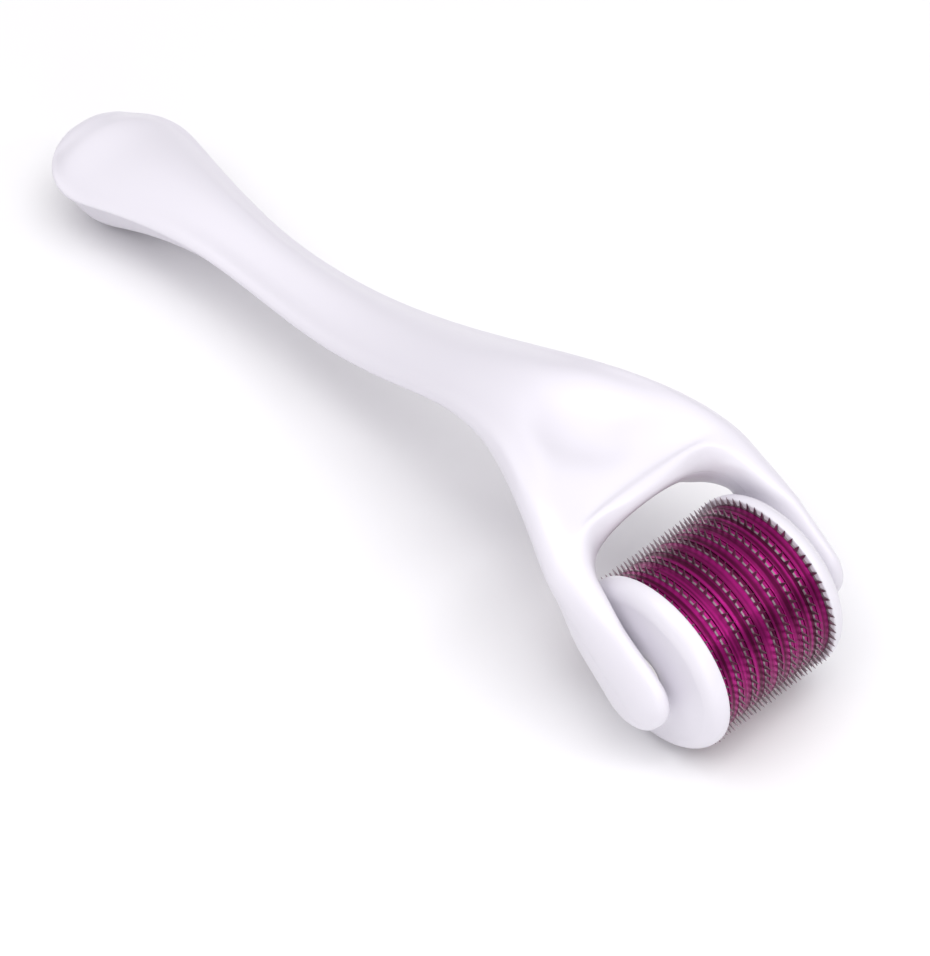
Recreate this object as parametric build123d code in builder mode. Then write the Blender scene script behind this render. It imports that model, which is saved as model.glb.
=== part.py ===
from build123d import *
from math import cos, radians, sin
import os

os.makedirs("parts", exist_ok=True)

# Derma roller: a drum of toothed steel rings and plastic discs that turns on an axle
# held between the two arms of a hollow, two-shell handle.
# Millimetres. +Z up, +Y along the handle, X along the roller's axle.
# The origin is on the surface the roller rests on, below the middle of its outline.

# driving dimensions: roller
needle_tip_radius = 11.85
barrel_radius = 10.8
barrel_length = 17.4
ring_count = 9
needles_per_ring = 60
ring_thickness = 0.24
needle_base_width = 0.5
needle_tip_width = 0.06
groove_width = 0.12
groove_depth = 0.25
groove_from_edge = 0.42
core_radius = 4.0
core_flat_height = 3.4
cap_radius = 11.6
cap_thickness = 2.9
cap_rim_width = 0.5
cap_dome = 0.35
cap_edge = 2.5
cap_wall = 1.2

# driving dimensions: axle and its seats
axle_radius = 1.5
running_clearance = 0.05
axle_seat_depth = 2.8
axle_chamfer = 0.3
washer_radius = 3.2
washer_thickness = 0.5

# driving dimensions: handle, reach along +Y and rise along +Z both from the axle
handle_reach = 120.0
arm_inner_x = 12.3
arm_outer_x = 16.7
arm_edge_radius = 2.0
arm_tip_radius = 4.9
arm_tip_reach = -1.8
arm_tip_rise = 0.5
arm_root_radius = 4.1
arm_root_reach = 7.0
arm_root_rise = 7.2
opening_corner_radius = 5.5
lip_reach = 10.9
scoop_radius = 15.5
scoop_reach = 4.0
scoop_rise = -1.7
dish_radius = 22.0
dish_floor_rise = 15.4
dish_reach = 21.0
wall = 1.8
peg_radius = 1.0
peg_clearance = 0.05
peg_length = 2.0
boss_radius = 2.0
peg_stations = (1, 3, 5)

# places worked out from the driving dimensions
axle_y = needle_tip_radius - (needle_tip_radius + handle_reach) / 2
axle_z = needle_tip_radius
ring_pitch = (barrel_length - ring_thickness) / (ring_count - 1)
disc_width = ring_pitch - ring_thickness
barrel_end_x = barrel_length / 2
cap_outer_x = barrel_end_x + cap_thickness
core_end_x = cap_outer_x - cap_wall
axle_end_x = arm_inner_x + axle_seat_depth
bore_radius = axle_radius + running_clearance
arm_width = arm_outer_x - arm_inner_x
clear_size = 4 * needle_tip_radius
roller_axis = Axis((0, axle_y, axle_z), (1, 0, 0))


def cross_plane(x):
    """Plane across the axle at distance x, its own x along +Y and its y along +Z."""
    return Plane(origin=(x, axle_y, axle_z), x_dir=(0, 1, 0), z_dir=(1, 0, 0))


def save(piece, name):
    """Label a finished piece and write its STEP file."""
    piece.label = name
    export_step(piece, f"parts/{name}.step")


# handle blank
# One row for each place where the handle's outline changes, from the bulb to the yoke:
# reach, rise of the edge line, half width, radius of the side edge, rise of the top over
# the edge line, depth of the belly under it, forward tilt of the section in degrees.
stations = [
    (110.4, -2.8, 9.8, 0.7, 3.3, 9.4, 0),
    (103.0, -1.5, 8.3, 0.7, 3.2, 7.8, 0),
    (92.0, -0.2, 6.0, 0.8, 3.0, 5.6, 0),
    (80.0, 0.1, 5.1, 0.9, 2.9, 4.6, 0),
    (66.0, 1.7, 5.7, 0.9, 2.9, 4.4, 0),
    (52.0, 6.0, 6.5, 1.0, 2.9, 4.4, 0),
    (40.0, 11.1, 7.2, 1.1, 2.8, 4.4, 0),
    (31.0, 13.9, 8.9, 1.4, 2.7, 4.2, 0),
    (22.0, 14.2, 12.1, 2.0, 2.6, 4.0, 0),
    (16.0, 12.7, 14.6, 2.6, 3.0, 3.8, 22),
    (10.0, 9.3, 16.5, 3.0, 3.6, 4.0, 34),
    (5.0, 5.7, 16.7, 3.2, 4.2, 4.4, 37),
]
bulb = stations[0]
bulb_end_angles = (82, 68, 50, 28)
hollow_stations = stations[:7]
# the edge line runs on through the axle, so that the two shells clamp the axle
parting_end_points = [(0.0, 0.0), (-10.0, -8.0)]


def bulb_station(angle):
    """Station on the bulb's elliptical end, angle in degrees past its widest place."""
    shrink = cos(radians(angle))
    reach = bulb[0] + (handle_reach - bulb[0]) * sin(radians(angle))
    widths = [size * shrink for size in bulb[2:6]]
    return (reach, bulb[1], *widths, 0)


def handle_section(station, inset=0.0):
    """Lens-shaped section with rounded side edges, set in by inset all round."""
    reach, rise, half_width, edge, crown, belly, tilt = station
    plane = Plane(origin=(0, axle_y + reach, axle_z + rise), x_dir=(1, 0, 0),
                  z_dir=(0, -1, 0)).rotated((tilt, 0, 0))
    outer = half_width - inset
    radius = edge * outer / half_width
    inner = outer - radius
    with BuildSketch(plane) as section:
        with BuildLine():
            ThreePointArc((-inner, radius), (0, crown - inset), (inner, radius))
            ThreePointArc((inner, radius), (outer, 0), (inner, -radius))
            ThreePointArc((inner, -radius), (0, inset - belly), (-inner, -radius))
            ThreePointArc((-inner, -radius), (-outer, 0), (-inner, radius))
        make_face()
    return section.sketch


with BuildPart() as blank:
    # trunk and yoke in one smooth skin
    for angle in bulb_end_angles:
        add(handle_section(bulb_station(angle)))
    for row in stations:
        add(handle_section(row))
    loft()
    # opening for the roller, seen from above a slot with rounded rear corners
    with BuildSketch(Plane.XY) as opening:
        with Locations((0, axle_y + lip_reach)):
            Rectangle(2 * arm_inner_x, clear_size, align=(Align.CENTER, Align.MAX))
        fillet(opening.vertices().group_by(Axis.Y)[-1], opening_corner_radius)
    extrude(amount=clear_size, mode=Mode.SUBTRACT)
    # shallow dish in the top of the yoke
    with Locations((0, axle_y + dish_reach, axle_z + dish_floor_rise + dish_radius)):
        Sphere(dish_radius, mode=Mode.SUBTRACT)
    # hollow scooped from below, so that the bridge behind the roller thins to a lip
    with Locations((0, axle_y + scoop_reach, axle_z + scoop_rise)):
        Sphere(scoop_radius, mode=Mode.SUBTRACT)
    # flat land under the bulb, level with the lowest needle tips
    with Locations((0, axle_y + bulb[0], 0)):
        Box(clear_size, clear_size, clear_size,
            align=(Align.CENTER, Align.CENTER, Align.MAX), mode=Mode.SUBTRACT)


def make_arm(side):
    """Finger that carries one end of the axle: a tapered bar with every edge rounded."""
    start = arm_inner_x if side > 0 else -arm_outer_x
    with BuildPart() as arm:
        with BuildSketch(cross_plane(start)):
            with Locations((arm_tip_reach, arm_tip_rise)):
                Circle(arm_tip_radius)
            with Locations((arm_root_reach, arm_root_rise)):
                Circle(arm_root_radius)
            make_hull()
        extrude(amount=arm_width)
        fillet(arm.edges().filter_by(Plane.YZ), arm_edge_radius)
    return arm.part


with BuildPart() as cavity:
    add(handle_section(bulb_station(bulb_end_angles[-1]), wall))
    for row in hollow_stations:
        add(handle_section(row, wall))
    loft()

with BuildPart() as handle:
    add(blank.part)
    add(make_arm(1))
    add(make_arm(-1))
    add(cavity.part, mode=Mode.SUBTRACT)
    # seats for the axle's ends
    for start in (arm_inner_x, -axle_end_x):
        with BuildSketch(cross_plane(start)):
            Circle(axle_radius)
        extrude(amount=axle_seat_depth, mode=Mode.SUBTRACT)

# everything over the handle's edge line, from tip to tip
with BuildPart() as upper_space:
    with BuildSketch(cross_plane(-clear_size)):
        with BuildLine():
            bulb_start = (handle_reach + wall, bulb[1])
            line_points = [(row[0], row[1]) for row in stations] + parting_end_points
            Line(bulb_start, line_points[0])
            Spline(*line_points, tangents=[(-1, 0), (-1, -1)])
            Polyline(line_points[-1], (line_points[-1][0], clear_size),
                     (bulb_start[0], clear_size), bulb_start)
        make_face()
    extrude(amount=2 * clear_size)

with BuildPart() as upper_shell:
    add(handle.part)
    add(upper_space.part, mode=Mode.INTERSECT)
    # locating pegs on the inside
    for index in peg_stations:
        reach, rise, _, _, crown, _, _ = stations[index]
        with Locations((0, axle_y + reach, axle_z + rise - peg_length)):
            Cylinder(peg_radius, peg_length + crown - wall / 2,
                     align=(Align.CENTER, Align.CENTER, Align.MIN))
save(upper_shell.part, "handle_upper_shell")

with BuildPart() as lower_shell:
    add(handle.part)
    add(upper_space.part, mode=Mode.SUBTRACT)
    # bosses that take the pegs
    for index in peg_stations:
        reach, rise, _, _, _, belly, _ = stations[index]
        boss_height = belly - wall / 2 - peg_clearance
        with Locations((0, axle_y + reach, axle_z + rise - peg_clearance)):
            Cylinder(boss_radius, boss_height, align=(Align.CENTER, Align.CENTER, Align.MAX))
            Cylinder(peg_radius + peg_clearance, peg_length,
                     align=(Align.CENTER, Align.CENTER, Align.MAX), mode=Mode.SUBTRACT)
save(lower_shell.part, "handle_lower_shell")

# axle and its two thrust washers
with BuildPart() as axle:
    with BuildSketch(cross_plane(-axle_end_x)):
        Circle(axle_radius)
    extrude(amount=2 * axle_end_x)
    chamfer(axle.edges().filter_by(GeomType.CIRCLE), axle_chamfer)
save(axle.part, "axle")

washer_x = (cap_outer_x + arm_inner_x) / 2
for name, middle in (("left_washer", -washer_x), ("right_washer", washer_x)):
    with BuildPart() as washer:
        with BuildSketch(cross_plane(middle - washer_thickness / 2)):
            Circle(washer_radius)
            Circle(axle_radius, mode=Mode.SUBTRACT)
        extrude(amount=washer_thickness)
    save(washer.part, name)

# roller core: a sleeve with a flat that stops the rings and discs from slipping round
with BuildSketch() as core_outline:
    Circle(core_radius)
    with Locations((0, core_flat_height)):
        Rectangle(2 * core_radius, core_radius, align=(Align.CENTER, Align.MIN),
                  mode=Mode.SUBTRACT)

with BuildPart() as core:
    with BuildSketch(cross_plane(-core_end_x)):
        add(core_outline.sketch)
        Circle(bore_radius, mode=Mode.SUBTRACT)
    extrude(amount=2 * core_end_x)
save(core.part, "roller_core")

# end caps, domed outside, each holding one end of the core
for name, side in (("left_end_cap", -1), ("right_end_cap", 1)):
    with BuildPart() as cap:
        with BuildSketch(Plane(origin=(0, axle_y, axle_z))):
            with BuildLine():
                rim_corner = (side * (barrel_end_x + cap_rim_width), cap_radius)
                shoulder = (side * (cap_outer_x - cap_dome), cap_radius - cap_edge)
                middle_r = (cap_radius - cap_edge + washer_radius) / 2
                face_middle = (side * (cap_outer_x - cap_dome / 4), middle_r)
                face_centre = (side * cap_outer_x, washer_radius)
                TangentArc(rim_corner, shoulder, tangent=(side, 0))
                ThreePointArc(shoulder, face_middle, face_centre)
                Polyline(face_centre, (side * cap_outer_x, bore_radius),
                         (side * core_end_x, bore_radius), (side * core_end_x, core_radius),
                         (side * barrel_end_x, core_radius), (side * barrel_end_x, cap_radius),
                         rim_corner)
            make_face()
        revolve(axis=roller_axis)
    save(cap.part, name)

# toothed steel rings: thin discs with a crown of needles, turned half a step in every second one
with BuildSketch() as crown_outline:
    Circle(barrel_radius)
    with PolarLocations(0, needles_per_ring):
        Polygon((barrel_radius - groove_depth, -needle_base_width / 2),
                (needle_tip_radius, -needle_tip_width / 2),
                (needle_tip_radius, needle_tip_width / 2),
                (barrel_radius - groove_depth, needle_base_width / 2), align=None)

half_step = 180 / needles_per_ring
for index in range(ring_count):
    with BuildPart() as ring:
        with BuildSketch(cross_plane(index * ring_pitch - barrel_end_x)):
            add(crown_outline.sketch, rotation=half_step * (index % 2))
            add(core_outline.sketch, mode=Mode.SUBTRACT)
        extrude(amount=ring_thickness)
    save(ring.part, f"needle_ring_{index + 1}")

# coloured disc between each two rings, with a fine groove near one edge
for index in range(ring_count - 1):
    start = index * ring_pitch - barrel_end_x + ring_thickness
    with BuildPart() as disc:
        with BuildSketch(cross_plane(start)):
            Circle(barrel_radius)
            add(core_outline.sketch, mode=Mode.SUBTRACT)
        extrude(amount=disc_width)
        with BuildSketch(cross_plane(start + groove_from_edge)):
            Circle(barrel_radius)
            Circle(barrel_radius - groove_depth, mode=Mode.SUBTRACT)
        extrude(amount=groove_width, mode=Mode.SUBTRACT)
    save(disc.part, f"barrel_disc_{index + 1}")
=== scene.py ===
from math import cos, pi, radians, sin, tau

import bmesh
import bpy
import numpy as np
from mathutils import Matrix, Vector
from mathutils.bvhtree import BVHTree


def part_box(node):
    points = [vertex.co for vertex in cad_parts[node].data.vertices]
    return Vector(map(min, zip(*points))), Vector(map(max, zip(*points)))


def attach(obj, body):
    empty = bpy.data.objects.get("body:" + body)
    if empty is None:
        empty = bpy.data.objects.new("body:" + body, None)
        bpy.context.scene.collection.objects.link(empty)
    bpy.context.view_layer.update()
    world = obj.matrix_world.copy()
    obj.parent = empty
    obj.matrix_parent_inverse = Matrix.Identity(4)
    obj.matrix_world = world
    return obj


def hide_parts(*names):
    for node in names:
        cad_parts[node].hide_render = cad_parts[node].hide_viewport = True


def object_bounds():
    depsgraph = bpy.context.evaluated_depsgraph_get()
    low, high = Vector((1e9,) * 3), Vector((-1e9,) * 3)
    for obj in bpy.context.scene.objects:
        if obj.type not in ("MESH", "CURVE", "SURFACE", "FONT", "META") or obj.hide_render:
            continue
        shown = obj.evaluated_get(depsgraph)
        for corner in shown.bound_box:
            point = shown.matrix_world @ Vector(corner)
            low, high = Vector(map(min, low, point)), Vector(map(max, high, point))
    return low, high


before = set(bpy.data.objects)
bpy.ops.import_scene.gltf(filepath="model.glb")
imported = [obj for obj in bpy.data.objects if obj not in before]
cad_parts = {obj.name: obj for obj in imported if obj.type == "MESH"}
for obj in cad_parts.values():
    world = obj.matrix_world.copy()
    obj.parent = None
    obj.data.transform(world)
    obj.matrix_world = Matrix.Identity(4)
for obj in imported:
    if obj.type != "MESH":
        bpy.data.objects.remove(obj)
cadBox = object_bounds()
print("frame loaded with", len(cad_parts), "nodes")

mm = 0.001  # sizes of the pieces are in millimetres, turned to metres where a piece is built
scene = bpy.context.scene

axleLow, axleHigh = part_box("axle")
axle = (axleLow + axleHigh) / 2  # the roller turns about this point's X line


def place(x, reach, rise):
    # reach runs along +Y and rise along +Z, both from the axle
    return Vector((x * mm, axle.y + reach * mm, axle.z + rise * mm))


# small helpers

def addMesh(name, verts, faces, material):
    mesh = bpy.data.meshes.new(name)
    mesh.from_pydata([tuple(v) for v in verts], [], faces)
    mesh.materials.append(material)
    piece = bpy.data.objects.new(name, mesh)
    scene.collection.objects.link(piece)
    return piece


def smoothByAngle(mesh, degrees):
    mesh.polygons.foreach_set("use_smooth", [True] * len(mesh.polygons))
    mesh.set_sharp_from_angle(angle=radians(degrees))


def bakeModifiers(piece):
    # the evaluated shape becomes a plain mesh, and the modifiers go
    graph = bpy.context.evaluated_depsgraph_get()
    made = bpy.data.meshes.new_from_object(piece.evaluated_get(graph))
    made.name = piece.name
    piece.modifiers.clear()
    piece.data = made
    return piece


# materials

def newGroup(name, inputs, outputs):
    group = bpy.data.node_groups.new(name, "ShaderNodeTree")
    for label, kind, value in inputs:
        socket = group.interface.new_socket(label, in_out="INPUT", socket_type=kind)
        socket.default_value = value
    for label, kind in outputs:
        group.interface.new_socket(label, in_out="OUTPUT", socket_type=kind)
    return group, group.nodes.new("NodeGroupInput"), group.nodes.new("NodeGroupOutput")


def addNode(tree, kind, **settings):
    node = tree.nodes.new(kind)
    for key, value in settings.items():
        if key in node.inputs:
            node.inputs[key].default_value = value
        else:
            setattr(node, key, value)
    return node


def mathNode(tree, operation, a, b=None):
    node = tree.nodes.new("ShaderNodeMath")
    node.operation = operation
    for socket, value in zip(node.inputs, (a, b)):
        if value is None:
            continue
        if isinstance(value, (int, float)):
            socket.default_value = value
        else:
            tree.links.new(value, socket)
    return node.outputs[0]


noiseMiddle = 0.5  # a noise texture wanders about this value


def makeGrainGroup():
    # fine uneven skin of a moulded or rolled surface: roughness that wanders, and a height
    group, given, result = newGroup(
        "surfaceGrain",
        [("Fine Scale", "NodeSocketFloat", 900.0), ("Broad Scale", "NodeSocketFloat", 60.0),
         ("Roughness", "NodeSocketFloat", 0.3), ("Spread", "NodeSocketFloat", 0.1),
         ("Stretch", "NodeSocketVector", (1.0, 1.0, 1.0))],
        [("Roughness", "NodeSocketFloat"), ("Height", "NodeSocketFloat"),
         ("Mask", "NodeSocketFloat")])
    link = group.links.new
    where = addNode(group, "ShaderNodeTexCoord")
    stretch = addNode(group, "ShaderNodeVectorMath", operation="MULTIPLY")
    fine = addNode(group, "ShaderNodeTexNoise", Detail=3.0)
    broad = addNode(group, "ShaderNodeTexNoise", Detail=2.0)
    link(where.outputs["Object"], stretch.inputs[0])
    link(given.outputs["Stretch"], stretch.inputs[1])
    link(stretch.outputs[0], fine.inputs["Vector"])
    link(where.outputs["Object"], broad.inputs["Vector"])
    link(given.outputs["Fine Scale"], fine.inputs["Scale"])
    link(given.outputs["Broad Scale"], broad.inputs["Scale"])
    centred = mathNode(group, "SUBTRACT", broad.outputs[0], noiseMiddle)
    shifted = mathNode(group, "MULTIPLY", centred, given.outputs["Spread"])
    link(mathNode(group, "ADD", given.outputs["Roughness"], shifted), result.inputs["Roughness"])
    link(fine.outputs[0], result.inputs["Height"])
    link(broad.outputs[0], result.inputs["Mask"])
    return group


bandShare = 0.21  # scale of the broad bands, as a share of the scale of the marks


def makeTurningGroup():
    # fine circular tool marks round the X line, and broader bands: both change along X only
    group, given, result = newGroup(
        "turningMarks",
        [("Scale", "NodeSocketFloat", 3000.0), ("Unevenness", "NodeSocketFloat", 0.5),
         ("Contrast", "NodeSocketFloat", 1.0)],
        [("Height", "NodeSocketFloat"), ("Mask", "NodeSocketFloat")])
    link = group.links.new
    where = addNode(group, "ShaderNodeTexCoord")
    split = addNode(group, "ShaderNodeSeparateXYZ")
    marks = addNode(group, "ShaderNodeTexNoise", noise_dimensions="1D", Detail=2.0)
    bands = addNode(group, "ShaderNodeTexNoise", noise_dimensions="1D", Detail=1.0)
    link(where.outputs["Object"], split.inputs[0])
    link(split.outputs["X"], marks.inputs["W"])
    link(split.outputs["X"], bands.inputs["W"])
    link(given.outputs["Scale"], marks.inputs["Scale"])
    bandScale = mathNode(group, "MULTIPLY", given.outputs["Scale"], bandShare)
    link(bandScale, bands.inputs["Scale"])
    broad = mathNode(group, "MULTIPLY", bands.outputs[0], given.outputs["Unevenness"])
    link(mathNode(group, "ADD", marks.outputs[0], broad), result.inputs["Height"])
    centred = mathNode(group, "SUBTRACT", bands.outputs[0], noiseMiddle)
    sharper = mathNode(group, "MULTIPLY", centred, given.outputs["Contrast"])
    link(mathNode(group, "ADD", sharper, noiseMiddle), result.inputs["Mask"])
    return group


grainGroup = makeGrainGroup()
turningGroup = makeTurningGroup()


def addMarks(material, look):
    # tool marks over the grain: they add to its height and steer where the second colour shows
    tree = material.node_tree
    marks = addNode(tree, "ShaderNodeGroup", node_tree=turningGroup)
    marks.inputs["Scale"].default_value = look["markScale"]
    marks.inputs["Unevenness"].default_value = look["markUnevenness"]
    marks.inputs["Contrast"].default_value = look["markContrast"]
    bump = next(n for n in tree.nodes if n.type == "BUMP")
    blend = next(n for n in tree.nodes if n.type == "MIX")
    grainHeight = bump.inputs["Height"].links[0].from_socket
    grainMask = blend.inputs["Factor"].links[0].from_socket
    raised = mathNode(tree, "MULTIPLY", marks.outputs["Height"], look["markHeight"])
    tree.links.new(mathNode(tree, "ADD", grainHeight, raised), bump.inputs["Height"])
    grainShare = mathNode(tree, "ADD", grainMask, noiseMiddle)
    factor = mathNode(tree, "MULTIPLY", marks.outputs["Mask"], grainShare)
    tree.links.new(factor, blend.inputs["Factor"])
    return material


def makeFinish(name, look):
    # one material: two close colours mixed by the broad grain, grain in roughness and bump
    material = bpy.data.materials.new(name)
    material.use_nodes = True
    tree = material.node_tree
    link = tree.links.new
    shader = tree.nodes["Principled BSDF"]
    grain = addNode(tree, "ShaderNodeGroup", node_tree=grainGroup)
    for label in ("Fine Scale", "Broad Scale", "Roughness", "Spread", "Stretch"):
        if label in look:
            grain.inputs[label].default_value = look[label]
    blend = addNode(tree, "ShaderNodeMix", data_type="RGBA")
    blend.inputs["A"].default_value = (*look["colour"], 1.0)
    blend.inputs["B"].default_value = (*look["secondColour"], 1.0)
    bump = addNode(tree, "ShaderNodeBump", Strength=look["bump"], Distance=look["bumpDepth"] * mm)
    link(grain.outputs["Mask"], blend.inputs["Factor"])
    link(blend.outputs["Result"], shader.inputs["Base Color"])
    link(grain.outputs["Roughness"], shader.inputs["Roughness"])
    link(grain.outputs["Height"], bump.inputs["Height"])
    link(bump.outputs["Normal"], shader.inputs["Normal"])
    for label in ("Metallic", "Coat Weight", "Coat Roughness"):
        if label in look:
            shader.inputs[label].default_value = look[label]
    return material


whitePlasticLook = {
    "colour": (0.755, 0.732, 0.79), "secondColour": (0.74, 0.717, 0.775),
    "Fine Scale": 2400.0, "Broad Scale": 45.0, "Roughness": 0.32, "Spread": 0.12,
    "bump": 0.25, "bumpDepth": 0.02, "Coat Weight": 0.15, "Coat Roughness": 0.2,
}
magentaLook = {
    "colour": (0.38, 0.011, 0.185), "secondColour": (0.10, 0.003, 0.042),
    "Fine Scale": 1500.0, "Broad Scale": 160.0, "Roughness": 0.31, "Spread": 0.2,
    "Stretch": (6.0, 1.0, 1.0), "bump": 0.6, "bumpDepth": 0.05, "Metallic": 0.9,
    "markScale": 6000.0, "markUnevenness": 0.6, "markHeight": 1.0, "markContrast": 4.5,
}
needleSteelLook = {
    "colour": (0.35, 0.28, 0.31), "secondColour": (0.23, 0.18, 0.20),
    "Fine Scale": 3000.0, "Broad Scale": 900.0, "Roughness": 0.42, "Spread": 0.3,
    "bump": 0.3, "bumpDepth": 0.01, "Metallic": 1.0,
}
axleSteelLook = {
    "colour": (0.62, 0.62, 0.64), "secondColour": (0.52, 0.52, 0.55),
    "Fine Scale": 900.0, "Broad Scale": 300.0, "Roughness": 0.28, "Spread": 0.25,
    "Stretch": (12.0, 1.0, 1.0), "bump": 0.3, "bumpDepth": 0.01, "Metallic": 1.0,
}
nylonLook = {
    "colour": (0.80, 0.79, 0.76), "secondColour": (0.74, 0.73, 0.70),
    "Fine Scale": 1800.0, "Broad Scale": 120.0, "Roughness": 0.5, "Spread": 0.15,
    "bump": 0.3, "bumpDepth": 0.02,
}
floorLook = {
    "colour": (0.85, 0.845, 0.855), "secondColour": (0.84, 0.835, 0.848),
    "Fine Scale": 700.0, "Broad Scale": 12.0, "Roughness": 0.75, "Spread": 0.1,
    "bump": 0.1, "bumpDepth": 0.02,
}
whitePlastic = makeFinish("whitePlastic", whitePlasticLook)
magentaPlastic = addMarks(makeFinish("magentaPlastic", magentaLook), magentaLook)
needleSteel = makeFinish("needleSteel", needleSteelLook)
axleSteel = makeFinish("axleSteel", axleSteelLook)
nylon = makeFinish("nylon", nylonLook)
floorPaint = makeFinish("floorPaint", floorLook)
print("materials made")


# handle: one smooth skin over the frame's two shells, then split along its edge line

handleForm = {
    # rise of the edge line at each reach, where the two shells meet
    "edgeLine": [(-10.0, -8.0), (0.0, 0.0), (5.0, 5.7), (10.0, 9.3), (16.0, 12.7), (22.0, 14.2),
                 (31.0, 13.9), (40.0, 11.1), (52.0, 6.0), (66.0, 1.7), (80.0, 0.1), (92.0, -0.2),
                 (103.0, -1.5), (110.4, -2.8), (121.0, -2.8)],
    # reach of each ring at its middle and at its edges, from the bulb to the yoke
    "rings": [(117.2, 117.2), (114.6, 114.6), (110.0, 110.0), (103.0, 103.0), (92.0, 92.0),
              (80.0, 80.0), (66.0, 66.0), (52.0, 52.0), (40.0, 40.0), (31.0, 31.0), (26.0, 25.0),
              (21.8, 20.5), (18.3, 17.0), (15.6, 14.2), (13.6, 11.6)],
    # places across a ring, as shares of its half width
    "topColumns": [0.0, 0.29, 0.56, 0.78, 0.93], "bottomColumns": [0.0, 0.29, 0.54, 0.75, 0.90],
    # share of its half width by which the belly is drawn in at each reach
    "bellyTuck": [(30.0, 0.0), (45.0, 0.08), (60.0, 0.13), (92.0, 0.16), (110.0, 0.13),
                  (117.2, 0.02)],
    # how far each top column is sunk at each reach, for the dish behind the lip
    "dishReaches": [13.6, 15.6, 18.3, 21.8, 26.0, 31.0, 40.0],
    "dishSink": [(0.75, 0.95, 0.95, 0.75, 0.45, 0.20, 0.0),
                 (0.70, 0.80, 0.70, 0.42, 0.12, 0.0, 0.0),
                 (0.35, 0.35, 0.18, -0.05, -0.10, -0.05, 0.0),
                 (-0.05, -0.12, -0.18, -0.15, -0.08, 0.0, 0.0),
                 (0.0, 0.0, 0.0, 0.0, 0.0, 0.0, 0.0)],
    # the bulb's end: where rays towards it start, and the reach that gives their height
    "noseStart": 140.0, "noseLevelReach": 120.0,
    # the lip in front of the dish: places along it by X, then by degrees round its corner
    "lipReach": 10.9, "openingHalfWidth": 12.3, "cornerRadius": 5.5,
    "lipColumns": [("straight", 0.0), ("straight", 4.6), ("corner", 20.0), ("corner", 52.0)],
    "lipRoll": 1.25,  # from the lip's front edge back to the top of its roll
    "lipOuterReach": 9.4,  # reach of that ring at the outer edge of the yoke
    "lipTopStep": 0.3, "lipBottomStep": 1.6,  # the points next to that edge lie this far behind
    "armRoot": (7.0, 7.2), "armTip": (-1.8, 0.5),  # middle line of an arm, reach and rise
    "armSteps": [0.0, 3.7, 7.4, 11.06],  # places of its rings along that line
    "armColumns": (0.27, 0.73),
    # rings past the end of that line, for the rounded tip: step, share of height, share of width
    "tipRings": [(13.2, 0.90, 0.95), (14.9, 0.62, 0.72), (15.7, 0.28, 0.36)],
    "smoothLevels": 3,
    "wall": 0.5,
    "partingGap": 0.02,  # how far each shell's rim stands back from the joint
}

shellVerts, shellFaces = [], []
for nodeName in ("handle_upper_shell", "handle_lower_shell"):
    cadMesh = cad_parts[nodeName].data
    first = len(shellVerts)
    shellVerts += [v.co.copy() for v in cadMesh.vertices]
    shellFaces += [[first + i for i in p.vertices] for p in cadMesh.polygons]
shellTree = BVHTree.FromPolygons(shellVerts, shellFaces)
farOff = 60.0  # rays towards the shells start this far away


def surfaceFrom(start, direction):
    # first point of the frame's shells met on the way
    found = shellTree.ray_cast(start, Vector(direction).normalized())[0]
    if found is None:
        raise RuntimeError(f"no handle surface from {tuple(start)} towards {tuple(direction)}")
    return found


def edgeRise(reach):
    reaches, rises = zip(*handleForm["edgeLine"])
    return float(np.interp(reach, reaches, rises))


def edgePoint(reach):
    return surfaceFrom(place(farOff, reach, edgeRise(reach)), (-1, 0, 0))


def topPoint(x, reach):
    return surfaceFrom(place(x, reach, farOff), (0, 0, -1))


def bottomPoint(x, reach):
    return surfaceFrom(place(x, reach, -farOff), (0, 0, 1))


class Cage:
    # control points of one half of the handle, and the four-sided faces between them
    def __init__(self):
        self.points = {}
        self.faces = []

    def add(self, key, point):
        self.points[key] = point

    def face(self, part, *keys):
        self.faces.append((part, keys))


def fillRing(cage, row, middleReach, edgeReach):
    # points T0 to T4 on top, E on the edge line and B0 to B4 under it, from the middle outwards
    edge = edgePoint(edgeReach)
    cage.add((row, "E"), edge)
    tuck = np.interp(middleReach, *zip(*handleForm["bellyTuck"]))
    for column, share in enumerate(handleForm["topColumns"]):
        reach = middleReach + (edgeReach - middleReach) * share ** 2
        point = topPoint(share * edge.x / mm, reach)
        sink = np.interp(middleReach, handleForm["dishReaches"], handleForm["dishSink"][column])
        point.z -= sink * mm
        cage.add((row, f"T{column}"), point)
    for column, share in enumerate(handleForm["bottomColumns"]):
        reach = middleReach + (edgeReach - middleReach) * share ** 2
        point = bottomPoint(share * edge.x / mm, reach)
        point.x *= 1 - tuck
        cage.add((row, f"B{column}"), point)


columnPairs = ("01", "12", "23")  # neighbouring columns at the bulb's end and at the lip


def fillBulbEnd(cage, row):
    # the edge line carries on round the end of the bulb as the nose row
    start = place(0, handleForm["noseStart"], edgeRise(handleForm["noseLevelReach"]))
    for column in range(4):
        x = cage.points[(row, f"T{column}")].x
        cage.add(("nose", f"N{column}"), surfaceFrom(Vector((x, start.y, start.z)), (0, -1, 0)))
    for a, b in columnPairs:
        cage.face(0, (row, "T" + a), (row, "T" + b), ("nose", "N" + b), ("nose", "N" + a))
    for a, b in columnPairs:
        cage.face(1, ("nose", "N" + a), ("nose", "N" + b), (row, "B" + b), (row, "B" + a))
    cage.face(0, (row, "T3"), (row, "T4"), (row, "E"), ("nose", "N3"))
    cage.face(1, ("nose", "N3"), (row, "E"), (row, "B4"), (row, "B3"))


def joinRings(cage, first, second, names, part):
    # faces between two neighbouring rings, along the named points
    for a, b in zip(names, names[1:]):
        cage.face(part, (first, a), (first, b), (second, b), (second, a))


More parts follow.
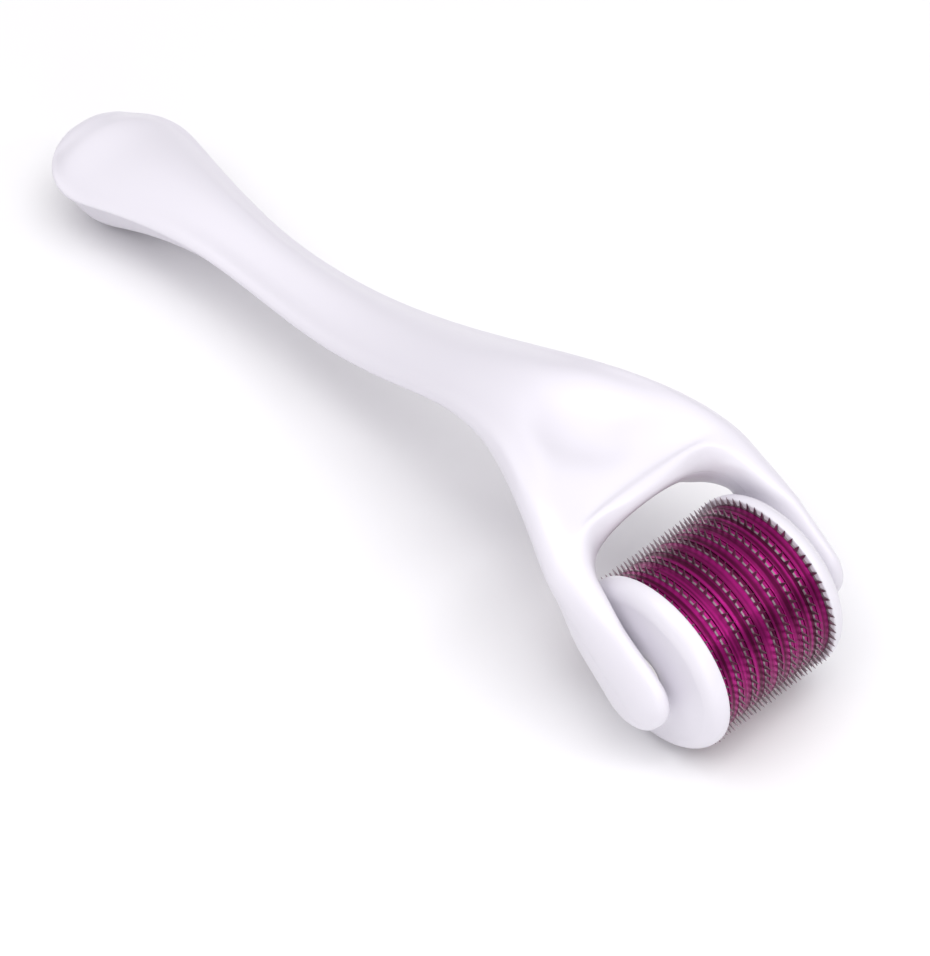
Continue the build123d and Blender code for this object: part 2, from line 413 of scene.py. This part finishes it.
def fillLip(cage, row):
    # the ring along the top of the lip's roll, and the lip's front edge N0 to N3 under it
    radius = handleForm["cornerRadius"]
    centreX = handleForm["openingHalfWidth"] - radius
    centreReach = handleForm["lipReach"] - radius
    for column, (kind, value) in enumerate(handleForm["lipColumns"]):
        startX, angle = (value, 0.0) if kind == "straight" else (centreX, radians(value))
        out = (sin(angle), cos(angle))
        back = radius + handleForm["lipRoll"]
        x, reach = startX + back * out[0], centreReach + back * out[1]
        top, bottom = topPoint(x, reach), bottomPoint(x, reach)
        cage.add((row, f"T{column}"), top)
        cage.add((row, f"B{column}"), bottom)
        start = place(startX, centreReach, 0)
        start.z = (top.z + bottom.z) / 2
        cage.add((row, f"N{column}"), surfaceFrom(start, (out[0], out[1], 0)))
    edge = edgePoint(handleForm["lipOuterReach"])
    cage.add((row, "E"), edge)
    x = handleForm["topColumns"][4] * edge.x / mm
    cage.add((row, "T4"), topPoint(x, handleForm["lipOuterReach"] + handleForm["lipTopStep"]))
    cage.add((row, "B4"), bottomPoint(x, handleForm["lipOuterReach"] + handleForm["lipBottomStep"]))
    for a, b in columnPairs:
        cage.face(0, (row, "T" + a), (row, "T" + b), (row, "N" + b), (row, "N" + a))
        cage.face(1, (row, "N" + a), (row, "N" + b), (row, "B" + b), (row, "B" + a))


def joinArmRings(cage, first, second):
    joinRings(cage, first, second, ("N3", "T3", "T4", "E"), 0)
    joinRings(cage, first, second, ("E", "B4", "B3", "N3"), 1)


def fillArm(cage, lipRow):
    # rings square to the arm, cast onto the shells, then the shrinking rings of its tip
    rootReach, rootRise = handleForm["armRoot"]
    tipReach, tipRise = handleForm["armTip"]
    along = Vector((tipReach - rootReach, tipRise - rootRise)).normalized()
    forward = Vector((0, along.x, along.y))
    upward = Vector((0, along.y, -along.x))  # square to the arm, in the Y and Z plane
    before = lipRow
    for index, step in enumerate(handleForm["armSteps"]):
        row = f"arm{index}"
        reach, rise = rootReach + along.x * step, rootRise + along.y * step
        middle = place(0, reach, rise)
        inner = surfaceFrom(middle, (1, 0, 0))
        outer = surfaceFrom(middle + Vector((farOff * mm, 0, 0)), (-1, 0, 0))
        cage.add((row, "N3"), inner)
        cage.add((row, "E"), outer)
        for column, share in zip((3, 4), handleForm["armColumns"]):
            point = inner.lerp(outer, share)
            cage.add((row, f"T{column}"), surfaceFrom(point + upward * farOff * mm, -upward))
            cage.add((row, f"B{column}"), surfaceFrom(point - upward * farOff * mm, upward))
        joinArmRings(cage, before, row)
        before = row
    lastRow, lastStep = before, handleForm["armSteps"][-1]
    centre = (cage.points[(lastRow, "N3")] + cage.points[(lastRow, "E")]) / 2
    for index, (step, height, width) in enumerate(handleForm["tipRings"]):
        row = f"tip{index}"
        for key in ("N3", "T3", "T4", "E", "B4", "B3"):
            fromCentre = cage.points[(lastRow, key)] - centre
            onward = forward * (step - lastStep) * mm
            across = Vector((fromCentre.x * width, 0, 0)) + upward * fromCentre.dot(upward) * height
            cage.add((row, key), centre + onward + across)
        joinArmRings(cage, before, row)
        before = row
    cage.face(0, *[(before, k) for k in ("N3", "T3", "T4", "E")])
    cage.face(1, *[(before, k) for k in ("N3", "E", "B4", "B3")])


def easeColumn(cage, column, rows, held):
    # moves the points between the two inner held rows onto a smooth curve through all four
    fixed = [cage.points[(rows[k], column)] for k in held]
    lengths = [0.0]
    for a, b in zip(rows, rows[1:]):
        lengths.append(lengths[-1] + (cage.points[(b, column)] - cage.points[(a, column)]).length)
    first, second, third, fourth = (lengths[k] for k in held)
    slopeIn = (fixed[2] - fixed[0]) / (third - first)
    slopeOut = (fixed[3] - fixed[1]) / (fourth - second)
    span = third - second
    for k in range(held[1] + 1, held[2]):
        share = (lengths[k] - second) / span
        square, cube = share ** 2, share ** 3
        bend = slopeIn * (cube - 2 * square + share) + slopeOut * (cube - square)
        point = fixed[1].lerp(fixed[2], 3 * square - 2 * cube) + bend * span
        cage.add((rows[k], column), point)


def makeHalfCage():
    # the half at +X: part 0 is above the edge line and part 1 below it
    cage = Cage()
    upper = [f"T{c}" for c in range(5)] + ["E"]
    lower = ["E"] + [f"B{c}" for c in range(4, -1, -1)]
    rings = handleForm["rings"]
    for row, (middleReach, edgeReach) in enumerate(rings):
        fillRing(cage, row, middleReach, edgeReach)
        if row:
            joinRings(cage, row - 1, row, upper, 0)
            joinRings(cage, row - 1, row, lower, 1)
    fillBulbEnd(cage, 0)
    lipRow = len(rings)
    fillLip(cage, lipRow)
    joinRings(cage, lipRow - 1, lipRow, upper, 0)
    joinRings(cage, lipRow - 1, lipRow, lower, 1)
    fillArm(cage, lipRow)
    # the yoke runs into the arm without a kink
    rows = [lipRow - 2, lipRow - 1, lipRow, "arm0", "arm1", "arm2"]
    for column in ("T4", "E", "B4", "B3"):
        easeColumn(cage, column, rows, (0, 1, 4, 5))
    easeColumn(cage, "T3", rows, (1, 2, 4, 5))
    return cage


def mirroredCage(half):
    # both halves share the points on the middle plane
    numbers, verts, faces, parts = {}, [], [], []
    for side in (1, -1):
        for key, point in half.points.items():
            onMiddle = key[1] in ("T0", "B0", "N0")
            if onMiddle and side < 0:
                numbers[(key, side)] = numbers[(key, 1)]
                continue
            numbers[(key, side)] = len(verts)
            verts.append((0.0 if onMiddle else side * point.x, point.y, point.z))
        for part, keys in half.faces:
            face = [numbers[(key, side)] for key in keys]
            faces.append(face if side > 0 else face[::-1])
            parts.append(part)
    return np.array(verts), faces, parts


def cageThrough(targets, faces):
    # control points whose smooth surface passes through the targets: each row of the
    # matrix is the smooth position of one vertex, from itself, its edges and its faces
    count = len(targets)
    near = [set() for _ in range(count)]
    across = [[] for _ in range(count)]
    for face in faces:
        for k in range(4):
            near[face[k]].update((face[k - 1], face[(k + 1) % 4]))
            across[face[k]].append(face[(k + 2) % 4])
    matrix = np.zeros((count, count))
    for v in range(count):
        n = len(near[v])
        total = n * (n + 5)
        matrix[v, v] += n * n / total
        for other in near[v]:
            matrix[v, other] += 4 / total
        for other in across[v]:
            matrix[v, other] += 1 / total
    return np.linalg.solve(matrix, targets)


def makeSkin():
    targets, faces, parts = mirroredCage(makeHalfCage())
    skin = addMesh("handleSkin", cageThrough(targets, faces), faces, whitePlastic)
    skin.data.materials.append(whitePlastic)
    skin.data.polygons.foreach_set("material_index", parts)
    tidy = bmesh.new()
    tidy.from_mesh(skin.data)
    bmesh.ops.recalc_face_normals(tidy, faces=tidy.faces)
    tidy.to_mesh(skin.data)
    tidy.free()
    rounding = skin.modifiers.new("rounding", "SUBSURF")
    rounding.levels = rounding.render_levels = handleForm["smoothLevels"]
    bakeModifiers(skin)
    floorLevel = cadBox[0].z
    for vertex in skin.data.vertices:
        vertex.co.z = max(vertex.co.z, floorLevel)  # the land under the bulb is flat
    skin.data.update()
    return skin


def makeShell(name, skin, part):
    # half of the skin with an inner wall and a rim, keeping the whole skin's shading
    mesh = skin.data
    faces = [list(p.vertices) for p in mesh.polygons if p.material_index == part]
    used = sorted({v for face in faces for v in face})
    number = {v: i for i, v in enumerate(used)}
    faces = [[number[v] for v in face] for face in faces]
    points = np.array([mesh.vertices[v].co for v in used])
    normals = np.array([mesh.vertices[v].normal for v in used])
    edges = {(a, b) for face in faces for a, b in zip(face, face[1:] + face[:1])}
    rim = [(a, b) for a, b in edges if (b, a) not in edges]
    middles = {v: [] for edge in rim for v in edge}
    for face in faces:
        for v in face:
            if v in middles:
                middles[v].append(points[face].mean(axis=0))
    for v, around in middles.items():
        inward = np.mean(around, axis=0) - points[v]
        points[v] += inward / np.linalg.norm(inward) * handleForm["partingGap"] * mm
    count = len(points)
    inner = points - normals * handleForm["wall"] * mm
    allFaces = faces + [[v + count for v in face[::-1]] for face in faces]
    allFaces += [[b, a, a + count, b + count] for a, b in rim]
    shell = addMesh(name, np.vstack([points, inner]), allFaces, whitePlastic)
    shell.data.polygons.foreach_set("use_smooth", [True] * len(allFaces))
    loopNormals = []
    for polygon in shell.data.polygons:
        onRim = polygon.index >= 2 * len(faces)
        for v in polygon.vertices:
            if onRim:
                loopNormals.append(tuple(polygon.normal))
            else:
                loopNormals.append(tuple(normals[v] if v < count else -normals[v - count]))
    shell.data.normals_split_custom_set(loopNormals)
    return shell


skin = makeSkin()
for part, nodeName in enumerate(("handle_upper_shell", "handle_lower_shell")):
    pieceName = ("upperShell", "lowerShell")[part]
    shell = makeShell(pieceName, skin, part)
    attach(shell, "handle")
    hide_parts(nodeName)
bpy.data.objects.remove(skin)
print("handle shells made")


# turned pieces: end caps and barrel discs

turning = {"segments": 160, "roundSteps": 4, "sharpAngle": 40.0}


def turnedPiece(name, profile, material):
    # profile is a closed loop of (x, radius) turned about the axle
    verts, faces = [], []
    count, segments = len(profile), turning["segments"]
    for step in range(segments):
        angle = tau * step / segments
        for x, radius in profile:
            y = axle.y + radius * mm * cos(angle)
            z = axle.z + radius * mm * sin(angle)
            verts.append((x * mm, y, z))
    for step in range(segments):
        here, there = step * count, (step + 1) % segments * count
        for k in range(count):
            after = (k + 1) % count
            faces.append((here + k, here + after, there + after, there + k))
    piece = addMesh(name, verts, faces, material)
    solid = bmesh.new()
    solid.from_mesh(piece.data)
    bmesh.ops.recalc_face_normals(solid, faces=solid.faces)
    solid.to_mesh(piece.data)
    solid.free()
    smoothByAngle(piece.data, turning["sharpAngle"])
    return piece


def arcPoints(centre, radius, startDegrees, endDegrees):
    points = []
    for k in range(turning["roundSteps"] + 1):
        share = k / turning["roundSteps"]
        angle = radians(startDegrees + (endDegrees - startDegrees) * share)
        points.append((centre[0] + radius * cos(angle), centre[1] + radius * sin(angle)))
    return points


capForm = {
    "rimWidth": 0.5, "edge": 2.4, "faceDrop": 0.35, "bore": 1.55, "wall": 1.2,
    "hubRadius": 3.2, "coreRadius": 4.0, "edgeSteps": 14, "faceSteps": 8, "innerRound": 0.25,
}


def makeCap(name, nodeName, side):
    # a rim, a rounded shoulder and a shallow dome, with a pocket for the core behind
    low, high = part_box(nodeName)
    radius = (high.z - low.z) / 2 / mm
    innerX, outerX = sorted((abs(low.x) / mm, abs(high.x) / mm))
    edge = capForm["edge"]
    rise = outerX - capForm["faceDrop"] - innerX - capForm["rimWidth"]
    shoulder = []
    for k in range(capForm["edgeSteps"] + 1):
        angle = pi / 2 * k / capForm["edgeSteps"]
        shoulder.append((innerX + capForm["rimWidth"] + rise * sin(angle),
                         radius - edge * (1 - cos(angle))))
    face = []
    for k in range(1, capForm["faceSteps"] + 1):
        share = k / capForm["faceSteps"]
        face.append((outerX - capForm["faceDrop"] * (1 - share) ** 2,
                     radius - edge + (capForm["hubRadius"] - radius + edge) * share))
    pocketX = outerX - capForm["wall"]
    innerRound = capForm["innerRound"]
    profile = [(innerX, radius - innerRound)]
    profile += arcPoints((innerX + innerRound, radius - innerRound), innerRound, 180, 90)[1:]
    profile += shoulder + face
    profile += [(outerX, capForm["bore"]), (pocketX, capForm["bore"]),
                (pocketX, capForm["coreRadius"]), (innerX, capForm["coreRadius"])]
    cap = turnedPiece(name, [(side * x, r) for x, r in profile], whitePlastic)
    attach(cap, "roller")
    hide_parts(nodeName)


makeCap("leftCap", "left_end_cap", -1)
makeCap("rightCap", "right_end_cap", 1)
print("end caps made")

discForm = {
    "coreRadius": 4.0, "edgeRound": 0.07, "grooveFromEdge": 0.42, "grooveWidth": 0.12,
    "grooveDepth": 0.25, "grooveLip": 0.03,
}


def makeDisc(index):
    # rounded edges, and a fine groove with broken corners nearer the edge on the left
    nodeName = f"barrel_disc_{index}"
    low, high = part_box(nodeName)
    radius = (high.z - low.z) / 2 / mm
    start, end = low.x / mm, high.x / mm
    roundness, lip = discForm["edgeRound"], discForm["grooveLip"]
    grooveStart = start + discForm["grooveFromEdge"]
    grooveEnd = grooveStart + discForm["grooveWidth"]
    floorRadius = radius - discForm["grooveDepth"]
    profile = [(start, discForm["coreRadius"])]
    profile += arcPoints((start + roundness, radius - roundness), roundness, 180, 90)
    profile += [(grooveStart - lip, radius), (grooveStart, radius - lip), (grooveStart, floorRadius),
                (grooveEnd, floorRadius), (grooveEnd, radius - lip), (grooveEnd + lip, radius)]
    profile += arcPoints((end - roundness, radius - roundness), roundness, 90, 0)
    profile += [(end, discForm["coreRadius"])]
    disc = turnedPiece(f"disc{index}", profile, magentaPlastic)
    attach(disc, "roller")
    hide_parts(nodeName)


discCount = sum(name.startswith("barrel_disc_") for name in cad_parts)
for index in range(1, discCount + 1):
    makeDisc(index)
print("barrel discs made:", discCount)


# needle rings: a flat steel hub with a crown of needles, from one geometry node tree

ringForm = {
    "Needle Count": 60, "Tip Radius": 11.85, "Root Radius": 10.75, "Base Width": 0.52,
    "Tip Width": 0.07, "Thickness": 0.24, "Hub Radius": 4.0, "Rim Radius": 10.82,
    "Lean": 0.02,  # the most a needle leans, in radians
    "Short": 0.97,  # the shortest needle, as a share of the full length
}
lengthInputs = ("Tip Radius", "Root Radius", "Base Width", "Tip Width", "Thickness", "Hub Radius",
                "Rim Radius", "Place")
hubSteps = 144
halfDiagonal = 0.7071  # from the middle of a square of side 1 to its corner
seedStep = 7
ringSharpAngle = 30.0


def makeRingTree():
    tree = bpy.data.node_groups.new("needleRing", "GeometryNodeTree")
    tree.interface.new_socket("Geometry", in_out="INPUT", socket_type="NodeSocketGeometry")
    tree.interface.new_socket("Needle Count", in_out="INPUT", socket_type="NodeSocketInt")
    for label in lengthInputs + ("Turn", "Lean", "Short"):
        tree.interface.new_socket(label, in_out="INPUT", socket_type="NodeSocketFloat")
    tree.interface.new_socket("Seed", in_out="INPUT", socket_type="NodeSocketInt")
    tree.interface.new_socket("Material", in_out="INPUT", socket_type="NodeSocketMaterial")
    tree.interface.new_socket("Geometry", in_out="OUTPUT", socket_type="NodeSocketGeometry")
    link = tree.links.new
    given = tree.nodes.new("NodeGroupInput").outputs
    result = tree.nodes.new("NodeGroupOutput")

    # one needle, standing on its root, its flat faces in the plane of the ring
    length = mathNode(tree, "SUBTRACT", given["Tip Radius"], given["Root Radius"])
    needle = addNode(tree, "GeometryNodeMeshCone", fill_type="NGON", Vertices=4)
    for width, end in (("Base Width", "Radius Bottom"), ("Tip Width", "Radius Top")):
        link(mathNode(tree, "MULTIPLY", given[width], halfDiagonal), needle.inputs[end])
    link(length, needle.inputs["Depth"])
    squared = addNode(tree, "GeometryNodeTransform", Rotation=(0.0, 0.0, pi / 4))
    link(needle.outputs["Mesh"], squared.inputs["Geometry"])
    flat = addNode(tree, "GeometryNodeTransform")
    flatScale = addNode(tree, "ShaderNodeCombineXYZ", X=1.0, Y=1.0, Z=1.0)
    link(mathNode(tree, "DIVIDE", given["Thickness"], given["Base Width"]), flatScale.inputs["X"])
    link(squared.outputs["Geometry"], flat.inputs["Geometry"])
    link(flatScale.outputs["Vector"], flat.inputs["Scale"])

    # needles round a circle, each turned outwards, leaning and shortened a little at random
    circle = addNode(tree, "GeometryNodeMeshCircle")
    link(given["Needle Count"], circle.inputs["Vertices"])
    link(given["Root Radius"], circle.inputs["Radius"])
    position = addNode(tree, "GeometryNodeInputPosition")
    facing = addNode(tree, "FunctionNodeAxesToRotation", primary_axis="Z", secondary_axis="X")
    facing.inputs["Secondary Axis"].default_value = (0.0, 0.0, 1.0)
    link(position.outputs["Position"], facing.inputs["Primary Axis"])
    leanLow = mathNode(tree, "MULTIPLY", given["Lean"], -1.0)
    leanAngle = addNode(tree, "FunctionNodeRandomValue", data_type="FLOAT")
    link(leanLow, leanAngle.inputs[2])
    link(given["Lean"], leanAngle.inputs[3])
    link(given["Seed"], leanAngle.inputs["Seed"])
    leanTurn = addNode(tree, "ShaderNodeCombineXYZ")
    link(leanAngle.outputs[1], leanTurn.inputs["X"])
    link(leanAngle.outputs[1], leanTurn.inputs["Y"])
    leaning = addNode(tree, "FunctionNodeRotateRotation", rotation_space="LOCAL")
    link(facing.outputs["Rotation"], leaning.inputs["Rotation"])
    link(leanTurn.outputs["Vector"], leaning.inputs["Rotate By"])
    lengthShare = addNode(tree, "FunctionNodeRandomValue", data_type="FLOAT")
    lengthShare.inputs[3].default_value = 1.0
    link(given["Short"], lengthShare.inputs[2])
    link(mathNode(tree, "ADD", given["Seed"], 1.0), lengthShare.inputs["Seed"])
    needleScale = addNode(tree, "ShaderNodeCombineXYZ", X=1.0, Y=1.0)
    link(lengthShare.outputs[1], needleScale.inputs["Z"])
    crown = addNode(tree, "GeometryNodeInstanceOnPoints")
    link(circle.outputs["Mesh"], crown.inputs["Points"])
    link(flat.outputs["Geometry"], crown.inputs["Instance"])
    link(leaning.outputs["Rotation"], crown.inputs["Rotation"])
    link(needleScale.outputs["Vector"], crown.inputs["Scale"])

    # hub: a rectangle carried round a circle
    bothRadii = mathNode(tree, "ADD", given["Rim Radius"], given["Hub Radius"])
    middleRadius = mathNode(tree, "MULTIPLY", bothRadii, 0.5)
    hubCircle = addNode(tree, "GeometryNodeCurvePrimitiveCircle", Resolution=hubSteps)
    link(middleRadius, hubCircle.inputs["Radius"])
    hubSection = addNode(tree, "GeometryNodeCurvePrimitiveQuadrilateral", mode="RECTANGLE")
    hubWidth = mathNode(tree, "SUBTRACT", given["Rim Radius"], given["Hub Radius"])
    link(hubWidth, hubSection.inputs["Width"])
    link(given["Thickness"], hubSection.inputs["Height"])
    hub = addNode(tree, "GeometryNodeCurveToMesh")
    link(hubCircle.outputs["Curve"], hub.inputs["Curve"])
    link(hubSection.outputs["Curve"], hub.inputs["Profile Curve"])

    # stand the ring up across the axle at its own place, and make it one plain mesh
    joined = addNode(tree, "GeometryNodeJoinGeometry")
    link(crown.outputs["Instances"], joined.inputs["Geometry"])
    link(hub.outputs["Mesh"], joined.inputs["Geometry"])
    turned = addNode(tree, "GeometryNodeTransform")
    turnVector = addNode(tree, "ShaderNodeCombineXYZ")
    link(given["Turn"], turnVector.inputs["Z"])
    link(joined.outputs["Geometry"], turned.inputs["Geometry"])
    link(turnVector.outputs["Vector"], turned.inputs["Rotation"])
    stood = addNode(tree, "GeometryNodeTransform", Rotation=(0.0, pi / 2, 0.0))
    shift = addNode(tree, "ShaderNodeCombineXYZ", Y=axle.y, Z=axle.z)
    link(given["Place"], shift.inputs["X"])
    link(turned.outputs["Geometry"], stood.inputs["Geometry"])
    link(shift.outputs["Vector"], stood.inputs["Translation"])
    real = addNode(tree, "GeometryNodeRealizeInstances")
    painted = addNode(tree, "GeometryNodeSetMaterial")
    link(stood.outputs["Geometry"], real.inputs["Geometry"])
    link(real.outputs["Geometry"], painted.inputs["Geometry"])
    link(given["Material"], painted.inputs["Material"])
    link(painted.outputs["Geometry"], result.inputs["Geometry"])
    return tree


def setInput(modifier, label, value):
    for item in modifier.node_group.interface.items_tree:
        if item.in_out == "INPUT" and item.name == label:
            modifier[item.identifier] = value


def makeRing(index, tree):
    # every other ring is turned by half the gap between needles, so the needles are staggered
    nodeName = f"needle_ring_{index}"
    low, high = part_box(nodeName)
    ring = addMesh(f"needleRing{index}", [], [], needleSteel)
    modifier = ring.modifiers.new("needles", "NODES")
    modifier.node_group = tree
    sizes = dict(ringForm, Place=(low.x + high.x) / 2 / mm)
    for label, value in sizes.items():
        setInput(modifier, label, value * mm if label in lengthInputs else value)
    setInput(modifier, "Turn", pi / ringForm["Needle Count"] * ((index + 1) % 2))
    setInput(modifier, "Seed", index * seedStep)
    setInput(modifier, "Material", needleSteel)
    bakeModifiers(ring)
    smoothByAngle(ring.data, ringSharpAngle)
    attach(ring, "roller")
    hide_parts(nodeName)


ringTree = makeRingTree()
ringCount = sum(name.startswith("needle_ring_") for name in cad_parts)
for index in range(1, ringCount + 1):
    makeRing(index, ringTree)
print("needle rings made:", ringCount)


# pieces whose CAD shape is right: axle, washers and core

def repaint(nodeName, material):
    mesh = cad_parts[nodeName].data
    mesh.materials.clear()
    mesh.materials.append(material)


repaint("axle", axleSteel)
for nodeName in ("left_washer", "right_washer", "roller_core"):
    repaint(nodeName, nylon)


# floor, light and camera

studio = {
    # floor and lamps in metres
    "floorSize": 3.0,
    "horizonSky": (0.20, 0.195, 0.21), "topSky": (0.92, 0.905, 0.93), "skyStrength": 0.88,
    "keyPlace": (0.03, -0.48, 1.15), "keySize": 0.85, "keyPower": 5.7,
    "fillPlace": (-0.45, 0.05, 1.10), "fillSize": 0.9, "fillPower": 4.8,
    "sidePlace": (-0.16, -0.25, 0.10), "sideSize": 0.16, "sidePower": 0.13,
    "glintPlace": (0.23, -0.43, 0.38), "glintSize": 0.085, "glintPower": 0.26,
    # camera in millimetres
    "cameraPlace": (-198.06, -226.805, 331.01), "cameraTarget": (-39.536, -54.075, 67.235),
    "lens": 131.8, "clipStart": 10.0,
}


def makeFloor():
    half = studio["floorSize"] / 2
    level = cadBox[0].z
    corners = [(-half, -half, level), (half, -half, level), (half, half, level), (-half, half, level)]
    floor = addMesh("floor", corners, [(0, 1, 2, 3)], floorPaint)


def aim(thing, target):
    thing.rotation_euler = (Vector(target) - thing.location).to_track_quat("-Z", "Y").to_euler()


def makeLights():
    world = bpy.data.worlds.new("studioSky")
    world.use_nodes = True
    tree = world.node_tree
    sky = tree.nodes["Background"]
    sky.inputs["Strength"].default_value = studio["skyStrength"]
    # dim round the horizon and bright overhead
    direction = addNode(tree, "ShaderNodeTexCoord")
    height = addNode(tree, "ShaderNodeSeparateXYZ")
    blend = addNode(tree, "ShaderNodeMix", data_type="RGBA")
    blend.inputs["A"].default_value = (*studio["horizonSky"], 1.0)
    blend.inputs["B"].default_value = (*studio["topSky"], 1.0)
    tree.links.new(direction.outputs["Generated"], height.inputs["Vector"])
    tree.links.new(height.outputs["Z"], blend.inputs["Factor"])
    tree.links.new(blend.outputs["Result"], sky.inputs["Color"])
    scene.world = world
    for name, target in (("key", (0, 0, 0)), ("fill", (0, 0, 0)), ("side", axle), ("glint", axle)):
        lamp = bpy.data.lights.new(name, "AREA")
        lamp.shape = "DISK"
        lamp.size = studio[name + "Size"]
        lamp.energy = studio[name + "Power"]
        light = bpy.data.objects.new(name, lamp)
        light.location = studio[name + "Place"]
        aim(light, target)
        scene.collection.objects.link(light)


def makeCamera():
    lensData = bpy.data.cameras.new("camera")
    lensData.lens = studio["lens"]
    lensData.clip_start = studio["clipStart"] * mm
    camera = bpy.data.objects.new("camera", lensData)
    camera.location = Vector(studio["cameraPlace"]) * mm
    aim(camera, Vector(studio["cameraTarget"]) * mm)
    scene.collection.objects.link(camera)
    scene.camera = camera


makeFloor()
makeLights()
makeCamera()
scene.view_settings.view_transform = "Standard"
print("floor, lights and camera placed")
